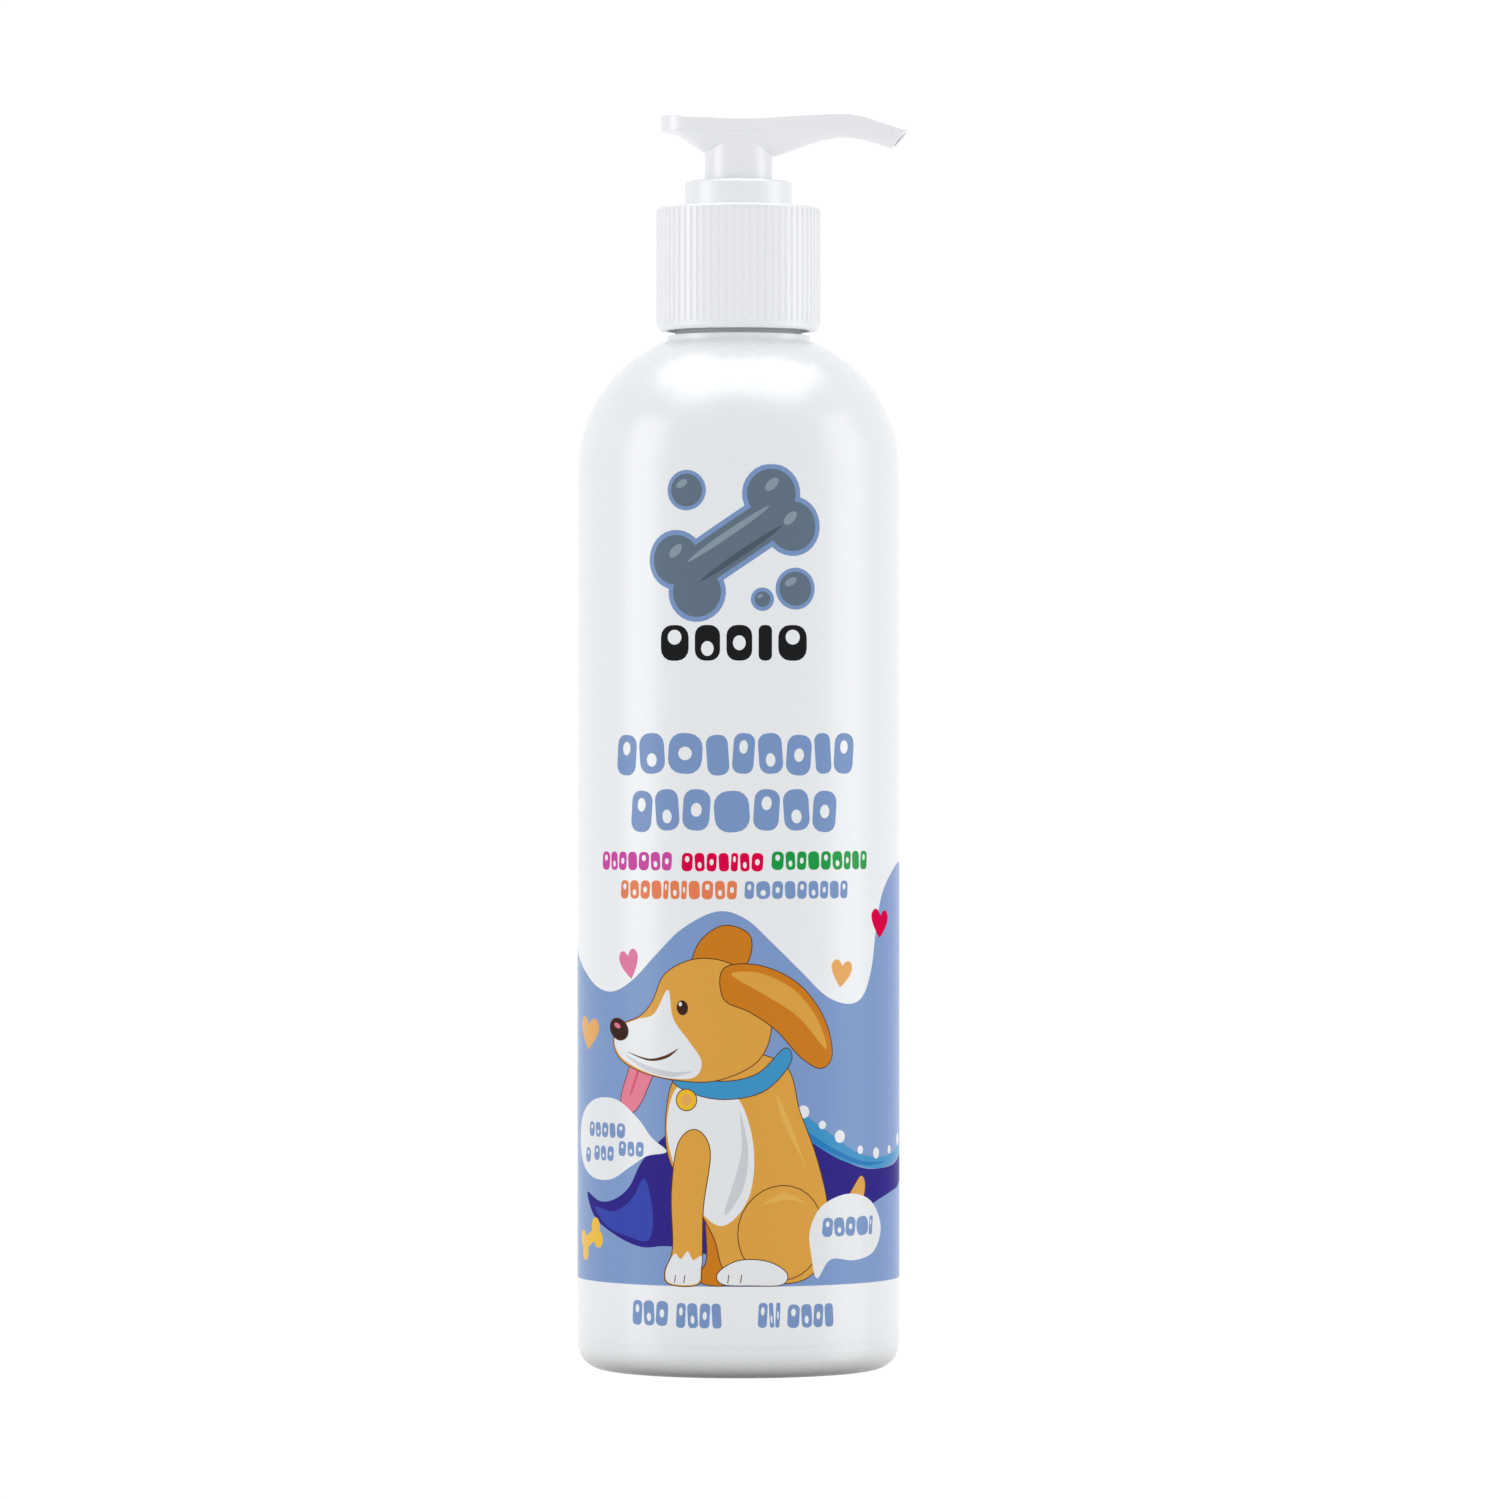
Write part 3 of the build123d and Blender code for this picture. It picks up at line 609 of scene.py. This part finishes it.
def film_object(layers, materials):
    """The printed film as one closed thin mesh: inked outside, bare inside, with rims between."""
    flat, triangles, inks = flat_film(layers)
    verts = [wrap(p.x, p.y, radius) for radius in (FILM_R, FILM_INNER_R) for p in flat]
    outer, inner, rims = film_faces(flat, triangles)
    mesh = bpy.data.meshes.new("label_print")
    mesh.from_pydata(verts, [], outer + inner + rims)
    for material in materials.values():
        mesh.materials.append(material)
    names = list(materials)
    bare = names.index("white")
    slots = [names.index(ink) for ink in inks] + [bare] * (len(inner) + len(rims))
    mesh.polygons.foreach_set("material_index", slots)
    mesh.polygons.foreach_set("use_smooth", [True] * len(slots))
    mesh.normals_split_custom_set(corner_normals(verts, outer, inner, rims))
    mesh.validate()
    piece = bpy.data.objects.new("label_print", mesh)
    bpy.context.scene.collection.objects.link(piece)
    return piece


# ---------------------------------------------------------------- materials

IOR = 1.49
# The bottle and its film share one gloss, so that the film's edge hardly shows
BODY_SPECULAR = 0.3
CLOSURE_SPECULAR = 0.4
# How much of its light each finish keeps in its deeper tone
PLASTIC_DRIFT = 0.985
METAL_DRIFT = 0.85
# The film's smoothest and dullest roughness
FILM_ROUGH = (0.25, 0.28)
# Noise keeps mostly between these values
NOISE_RANGE = (0.3, 0.7)
# Cycles per metre of each finish's drifts in tone and in gloss
PLASTIC_TONE, PLASTIC_GLOSS = 60, 260
FILM_TONE, FILM_GLOSS = 1400, 220
METAL_TONE, METAL_GLOSS = 300, 900
# The skin's relief: its strength, and its depth in metres
PLASTIC_RELIEF = 0.1
PLASTIC_DEPTH = 0.00002
FILM_RELIEF = 0.05
FILM_DEPTH = 0.00001
FILM_GRAIN = 300


def new_material(name):
    """A material, its node tree and its shader."""
    material = bpy.data.materials.new(name)
    material.use_nodes = True
    tree = material.node_tree
    return material, tree, tree.nodes["Principled BSDF"]


def noise(tree, scale, detail, stretch=(1, 1, 1)):
    """Noise in object space; scale is in cycles per metre."""
    place = tree.nodes.new("ShaderNodeTexCoord")
    mapping = tree.nodes.new("ShaderNodeMapping")
    mapping.inputs["Scale"].default_value = stretch
    texture = tree.nodes.new("ShaderNodeTexNoise")
    texture.inputs["Scale"].default_value = scale
    texture.inputs["Detail"].default_value = detail
    tree.links.new(place.outputs["Object"], mapping.inputs["Vector"])
    tree.links.new(mapping.outputs["Vector"], texture.inputs["Vector"])
    return texture.outputs["Fac"]


def rising(tree, value, source, target):
    """A value that runs across target while the given one runs across source."""
    node = tree.nodes.new("ShaderNodeMapRange")
    for name, number in zip(("From Min", "From Max", "To Min", "To Max"), (*source, *target)):
        node.inputs[name].default_value = number
    tree.links.new(value, node.inputs["Value"])
    return node.outputs["Result"]


def roughened(tree, shader, value, low, high):
    """A roughness that drifts between low and high."""
    tree.links.new(rising(tree, value, NOISE_RANGE, (low, high)), shader.inputs["Roughness"])


def tinted(tree, shader, value, shade, drift):
    """A base colour that drifts between a shade and a deeper one."""
    node = tree.nodes.new("ShaderNodeMix")
    node.data_type = "RGBA"
    node.inputs["A"].default_value = shade
    node.inputs["B"].default_value = (*[c * drift for c in shade[:3]], 1)
    tree.links.new(value, node.inputs["Factor"])
    tree.links.new(node.outputs["Result"], shader.inputs["Base Color"])


def bumped(tree, shader, value, strength, distance):
    """A fine relief; distance is in metres."""
    node = tree.nodes.new("ShaderNodeBump")
    node.inputs["Strength"].default_value = strength
    node.inputs["Distance"].default_value = distance
    tree.links.new(value, node.inputs["Height"])
    tree.links.new(node.outputs["Normal"], shader.inputs["Normal"])


def plastic(name, tone, rough, grain, depth=PLASTIC_DEPTH, specular=0.5):
    """Moulded plastic: a tone with a faint drift, uneven gloss and a fine moulded skin.

    grain is the skin's cycles per metre, and depth its relief in metres.
    """
    material, tree, shader = new_material(name)
    tinted(tree, shader, noise(tree, PLASTIC_TONE, 2), linear(tone), PLASTIC_DRIFT)
    roughened(tree, shader, noise(tree, PLASTIC_GLOSS, 3), rough * 0.88, rough * 1.12)
    bumped(tree, shader, noise(tree, grain, 3), PLASTIC_RELIEF, depth)
    shader.inputs["IOR"].default_value = IOR
    shader.inputs["Specular IOR Level"].default_value = specular
    return material


def film_material(ink, tone):
    """Printed film: an ink with a faint mottle, and the duller the darker the ink is."""
    material, tree, shader = new_material("ink_" + ink)
    shade = linear(tone)
    tinted(tree, shader, noise(tree, FILM_TONE, 2), shade, PLASTIC_DRIFT)
    roughened(tree, shader, noise(tree, FILM_GLOSS, 2), *FILM_ROUGH)
    bumped(tree, shader, noise(tree, FILM_GRAIN, 2), FILM_RELIEF, FILM_DEPTH)
    shader.inputs["IOR"].default_value = IOR
    shader.inputs["Specular IOR Level"].default_value = BODY_SPECULAR * shade[1]
    return material


def metal(name, tone, rough, stretch=(1, 1, 1)):
    """Drawn or polished metal with an uneven gloss; stretch draws the unevenness out along an axis."""
    material, tree, shader = new_material(name)
    shader.inputs["Metallic"].default_value = 1.0
    tinted(tree, shader, noise(tree, METAL_TONE, 3), linear(tone), METAL_DRIFT)
    roughened(tree, shader, noise(tree, METAL_GLOSS, 4, stretch), rough * 0.8, rough * 1.3)
    return material


def dress():
    """Gives every CAD node its material."""
    finishes = {
        "bottle": plastic("bottle_hdpe", (246, 248, 250), 0.27, 500, specular=BODY_SPECULAR),
        "closure": plastic("closure_pp", (250, 251, 253), 0.36, 1500, specular=CLOSURE_SPECULAR),
        "lock_collar": plastic("collar_pp", (246, 248, 251), 0.34, 1500, specular=CLOSURE_SPECULAR),
        "head": plastic("head_pp", (248, 249, 252), 0.32, 1100, specular=CLOSURE_SPECULAR),
        "stem": plastic("stem_pp", (236, 238, 238), 0.38, 1200),
        "piston": plastic("piston_ldpe", (226, 230, 232), 0.45, 1200),
        "piston_retainer": plastic("retainer_pp", (236, 238, 238), 0.38, 1200),
        "ball_cage": plastic("cage_pp", (236, 238, 238), 0.38, 1200),
        "housing": plastic("housing_pp", (238, 240, 240), 0.36, 900),
        "dip_tube": plastic("tube_pe", (232, 236, 238), 0.32, 700),
        "neck_gasket": plastic("gasket_foam", (224, 224, 220), 0.75, 2400, 0.00008),
        "return_spring": metal("spring_wire", (196, 198, 202), 0.28, (1, 1, 8)),
        "inlet_ball": metal("ball_steel_large", (214, 216, 220), 0.12),
        "outlet_ball": metal("ball_steel_small", (214, 216, 220), 0.12),
    }
    for node, material in finishes.items():
        mesh = frame["nodes"][node].data
        mesh.materials.clear()
        mesh.materials.append(material)


# ---------------------------------------------------------------- studio

# The camera, in metres, and its lens in millimetres
EYE = (0.00164, -1.121, 0.0882)
LENS = 188.4
SENSOR = 36
# How bright the sky is at the camera's side and behind, and what it keeps overhead
SKY_FRONT, SKY_BACK = 0.735, 1.125
SKY_OVERHEAD = 0.86
# The directions, as y and as z of a unit vector, between which it changes
SKY_TURN = (-1.0, 0.1)
SKY_CLIMB = (0.2, 0.9)
SKY_TINT = (0.985, 0.992, 1.0, 1)
# The floor's light, and the distances from the axis between which it rises to that
FLOOR_GLOW = 0.86
FOOT_SHADE = (0.021, 0.029)
# What the camera sees of the sky and the floor
BACKDROP = 1.05
# The soft boxes' distance, and half the floor's side
BOX_DISTANCE = 0.9
FLOOR_HALF = 4.0


def gloss_box(name, azimuth, elevation, height, size, power):
    """A soft box seen only in reflections; its azimuth is 0 at the camera's side, positive to the right."""
    data = bpy.data.lights.new(name, "AREA")
    data.shape = "RECTANGLE"
    data.size, data.size_y = size
    data.energy = power
    lamp = bpy.data.objects.new(name, data)
    bpy.context.scene.collection.objects.link(lamp)
    a, e = math.radians(azimuth), math.radians(elevation)
    lamp.location = (
        BOX_DISTANCE * math.sin(a) * math.cos(e),
        -BOX_DISTANCE * math.cos(a) * math.cos(e),
        height + BOX_DISTANCE * math.sin(e),
    )
    aim = Vector((0, 0, height)) - lamp.location
    lamp.rotation_euler = aim.to_track_quat("-Z", "Y").to_euler()
    lamp.visible_camera = False
    lamp.visible_diffuse = False


def backdrop(tree, value):
    """The given strength for the light, and plain white for the camera."""
    path = tree.nodes.new("ShaderNodeLightPath")
    seen = tree.nodes.new("ShaderNodeMix")
    seen.data_type = "FLOAT"
    seen.inputs["B"].default_value = BACKDROP
    tree.links.new(path.outputs["Is Camera Ray"], seen.inputs["Factor"])
    tree.links.new(value, seen.inputs["A"])
    return seen.outputs["Result"]


def world():
    """Even white all round, dimmer towards the camera's side and overhead."""
    sky = bpy.data.worlds.new("studio")
    bpy.context.scene.world = sky
    sky.use_nodes = True
    tree = sky.node_tree
    shader = tree.nodes["Background"]
    place = tree.nodes.new("ShaderNodeTexCoord")
    split = tree.nodes.new("ShaderNodeSeparateXYZ")
    tree.links.new(place.outputs["Generated"], split.inputs["Vector"])
    across = rising(tree, split.outputs["Y"], SKY_TURN, (SKY_FRONT, SKY_BACK))
    up = rising(tree, split.outputs["Z"], SKY_CLIMB, (1.0, SKY_OVERHEAD))
    both = tree.nodes.new("ShaderNodeMath")
    both.operation = "MULTIPLY"
    tree.links.new(across, both.inputs[0])
    tree.links.new(up, both.inputs[1])
    tree.links.new(backdrop(tree, both.outputs["Value"]), shader.inputs["Strength"])
    shader.inputs["Color"].default_value = SKY_TINT


def floor():
    """A plain white table top that throws light up, except close round the bottle's foot."""
    mesh = bpy.data.meshes.new("floor")
    corners = [(x * FLOOR_HALF, y * FLOOR_HALF, 0) for x, y in ((-1, -1), (1, -1), (1, 1), (-1, 1))]
    mesh.from_pydata(corners, [], [(0, 1, 2, 3)])
    plane = bpy.data.objects.new("floor", mesh)
    bpy.context.scene.collection.objects.link(plane)
    material, tree, shader = new_material("floor_white")
    shader.inputs["Base Color"].default_value = (0, 0, 0, 1)
    shader.inputs["Roughness"].default_value = 0.9
    shader.inputs["Specular IOR Level"].default_value = 0.0
    shader.inputs["Emission Color"].default_value = (1, 1, 1, 1)
    place = tree.nodes.new("ShaderNodeTexCoord")
    away = tree.nodes.new("ShaderNodeVectorMath")
    away.operation = "LENGTH"
    tree.links.new(place.outputs["Object"], away.inputs[0])
    # Painted shadow: the glow, which stands in for light bounced off the floor, falls to nothing close
    # round the bottle's foot
    glow = rising(tree, away.outputs["Value"], FOOT_SHADE, (0.0, FLOOR_GLOW))
    tree.links.new(backdrop(tree, glow), shader.inputs["Emission Strength"])
    mesh.materials.append(material)
    plane.visible_glossy = False


def studio():
    """The sky, the floor and three soft boxes: two beside the bottle and one above it."""
    world()
    floor()
    gloss_box("left_strip", -72.5, 0, 0.09, (0.45, 1.3), 9.0)
    gloss_box("right_strip", 84, 0, 0.09, (0.5, 1.3), 6.5)
    gloss_box("top_gloss", 0, 88, 0.12, (1.3, 0.9), 25.0)
    bpy.context.scene.view_settings.view_transform = "Standard"


def camera():
    """A long lens level with the middle of the bottle."""
    data = bpy.data.cameras.new("camera")
    data.lens = LENS
    data.sensor_width = SENSOR
    view = bpy.data.objects.new("camera", data)
    view.location = EYE
    view.rotation_euler = (math.pi / 2, 0, 0)
    bpy.context.scene.collection.objects.link(view)
    bpy.context.scene.camera = view


camera()
studio()
dress()
inks = {name: film_material(name, tone) for name, tone in INKS.items()}
label = film_object(printed(), inks)
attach(label, "bottle")
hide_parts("label")
